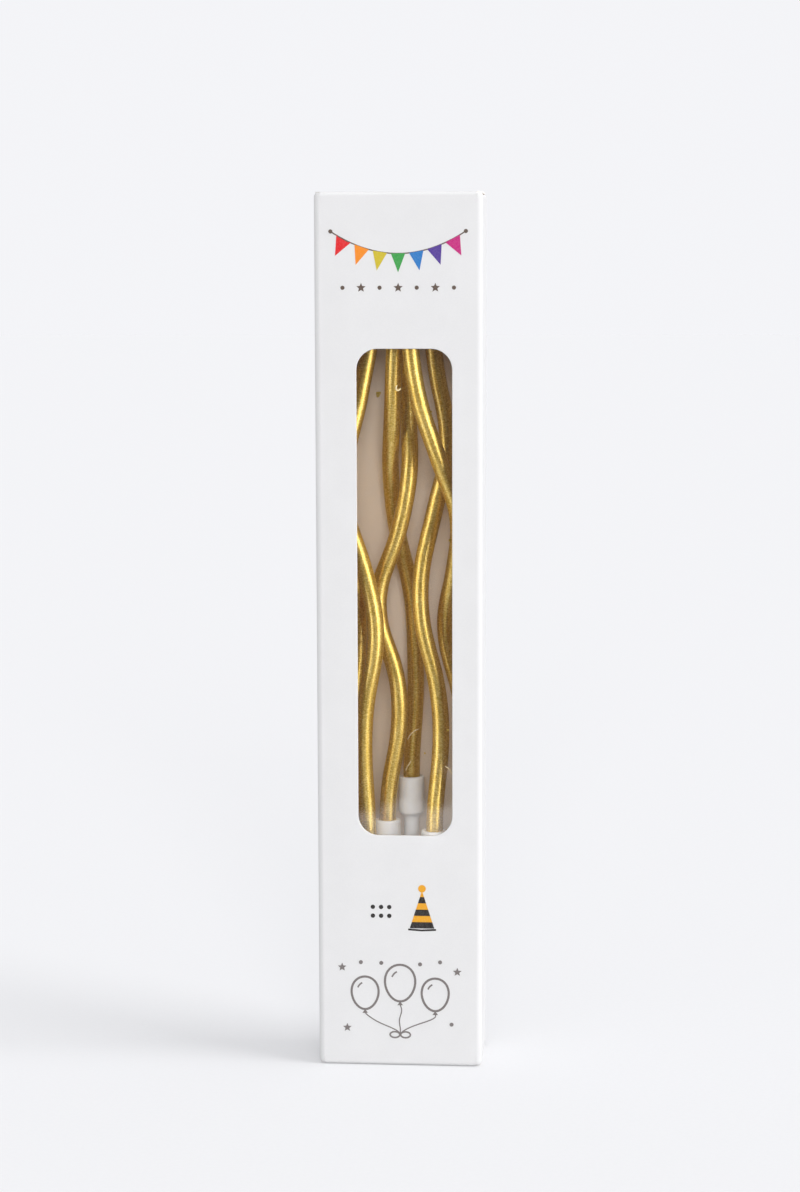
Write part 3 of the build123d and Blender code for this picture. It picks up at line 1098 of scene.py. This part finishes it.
def floor():
    made, tree, shader = material("studio_floor")
    fine = grain(tree, coordinates(tree), 900.0, 2.0)
    tree.links.new(ramp(tree, fine, [(0.3, (0.607, 0.610, 0.618)), (0.7, (0.617, 0.620, 0.628))]),
                   shader.inputs["Base Color"])
    shader.inputs["Roughness"].default_value = 0.9
    shader.inputs["Specular IOR Level"].default_value = 0.0
    lift = tree.nodes.new("ShaderNodeMath")
    lift.operation = "MULTIPLY"
    lift.inputs[1].default_value = FLOOR_LIFT
    tree.links.new(shown_rays(tree), lift.inputs[0])
    shader.inputs["Emission Color"].default_value = (*BACKDROP, 1.0)
    tree.links.new(lift.outputs[0], shader.inputs["Emission Strength"])
    points = [(-FLOOR_REACH, FLOOR_FRONT, FLOOR_LEVEL), (FLOOR_REACH, FLOOR_FRONT, FLOOR_LEVEL),
              (FLOOR_REACH, FLOOR_REACH, FLOOR_LEVEL), (-FLOOR_REACH, FLOOR_REACH, FLOOR_LEVEL)]
    plane = make_object("studio_floor", points, [[0, 1, 2, 3]], [made])


def studio_world():
    # Even light, a little more from the right; mirrored, it darkens from the backdrop to the front
    world = bpy.data.worlds.new("studio")
    scene.world = world
    world.use_nodes = True
    tree = world.node_tree
    ambient = tree.nodes["Background"]
    place = tree.nodes.new("ShaderNodeTexCoord")
    sideways = tree.nodes.new("ShaderNodeSeparateXYZ")
    tree.links.new(place.outputs["Generated"], sideways.inputs[0])
    level = remap(tree, sideways.outputs["X"], -1.0, 1.0, 0.0, 1.0)
    tree.links.new(ramp(tree, level, [(0.0, (0.67, 0.67, 0.68)), (1.0, (0.76, 0.76, 0.78))]),
                   ambient.inputs["Color"])
    facing = tree.nodes.new("ShaderNodeVectorMath")
    facing.operation = "DOT_PRODUCT"
    facing.inputs[1].default_value = (0.0, -1.0, 0.0)
    tree.links.new(place.outputs["Generated"], facing.inputs[0])
    shade = ramp(tree, remap(tree, facing.outputs["Value"], -1.0, 1.0, 0.0, 1.0),
                 [(0.4, BACKDROP), (0.55, (0.52, 0.52, 0.53)), (0.7, (0.38, 0.38, 0.39)),
                  (0.85, (0.20, 0.20, 0.21)), (1.0, (0.06, 0.06, 0.065))])
    rays = tree.nodes.new("ShaderNodeLightPath")
    pale = tree.nodes.new("ShaderNodeMix")
    pale.data_type = "RGBA"
    pale.inputs["B"].default_value = (*BACKDROP, 1.0)
    tree.links.new(rays.outputs["Is Camera Ray"], pale.inputs["Factor"])
    tree.links.new(shade, pale.inputs["A"])
    seen = tree.nodes.new("ShaderNodeBackground")
    tree.links.new(pale.outputs["Result"], seen.inputs["Color"])
    choice = tree.nodes.new("ShaderNodeMixShader")
    tree.links.new(shown_rays(tree), choice.inputs["Fac"])
    tree.links.new(ambient.outputs["Background"], choice.inputs[1])
    tree.links.new(seen.outputs["Background"], choice.inputs[2])
    tree.links.new(choice.outputs["Shader"], tree.nodes["World Output"].inputs["Surface"])


def light_object(name, light, source):
    # The light's object, turned so that it shines from the source towards the middle
    made = bpy.data.objects.new(name, light)
    made.rotation_euler = source.to_track_quat("Z", "Y").to_euler()
    scene.collection.objects.link(made)
    return made


def lamp(name, azimuth, height, spread, energy):
    # A broad soft source: azimuth from the front towards the right, height above the floor
    light = bpy.data.lights.new(name, "SUN")
    light.energy = energy
    light.angle = math.radians(spread)
    turn = math.radians(azimuth)
    rise = math.radians(height)
    source = Vector((math.sin(turn) * math.cos(rise), -math.cos(turn) * math.cos(rise), math.sin(rise)))
    made = light_object(name, light, source)
    made.visible_glossy = False


def reflector(name, azimuth, width, glow):
    # A tall lit screen, a metre away, that the strands alone mirror as a line along each
    light = bpy.data.lights.new(name, "AREA")
    light.shape = "RECTANGLE"
    light.size = width
    light.size_y = SCREEN_TALL
    light.energy = glow * math.pi * width * SCREEN_TALL
    turn = math.radians(azimuth)
    source = Vector((math.sin(turn), -math.cos(turn), 0.0))
    made = light_object(name, light, source)
    made.location = source + Vector((0.0, 0.0, SCREEN_LEVEL))
    made.visible_camera = False
    made.visible_diffuse = False
    made.light_linking.receiver_collection = strands


def place_camera():
    lens = bpy.data.cameras.new("camera")
    lens.sensor_width = 36.0
    lens.lens = 78.52
    lens.clip_start = 0.01
    lens.clip_end = 50.0
    camera = bpy.data.objects.new("camera", lens)
    yaw, pitch, roll = (math.radians(angle) for angle in CAMERA_TURN)
    ahead = Vector((-math.sin(yaw) * math.cos(pitch), math.cos(yaw) * math.cos(pitch), -math.sin(pitch)))
    across = Vector((math.cos(yaw), math.sin(yaw), 0.0))
    upward = across.cross(ahead)
    turned = across * math.cos(roll) + upward * math.sin(roll)
    raised = upward * math.cos(roll) - across * math.sin(roll)
    rows = [(turned[k], raised[k], -ahead[k], CAMERA_PLACE[k]) for k in range(3)]
    camera.matrix_world = Matrix(rows + [(0.0, 0.0, 0.0, 1.0)])
    scene.collection.objects.link(camera)
    scene.camera = camera


floor()
studio_world()
lamp("side_softbox", azimuth=77.0, height=28.0, spread=34.0, energy=1.84)
lamp("front_softbox", azimuth=8.0, height=18.0, spread=26.0, energy=1.1)
reflector("right_screen", azimuth=50.0, width=0.56, glow=5.6)
reflector("left_screen", azimuth=-45.0, width=0.42, glow=4.0)
place_camera()
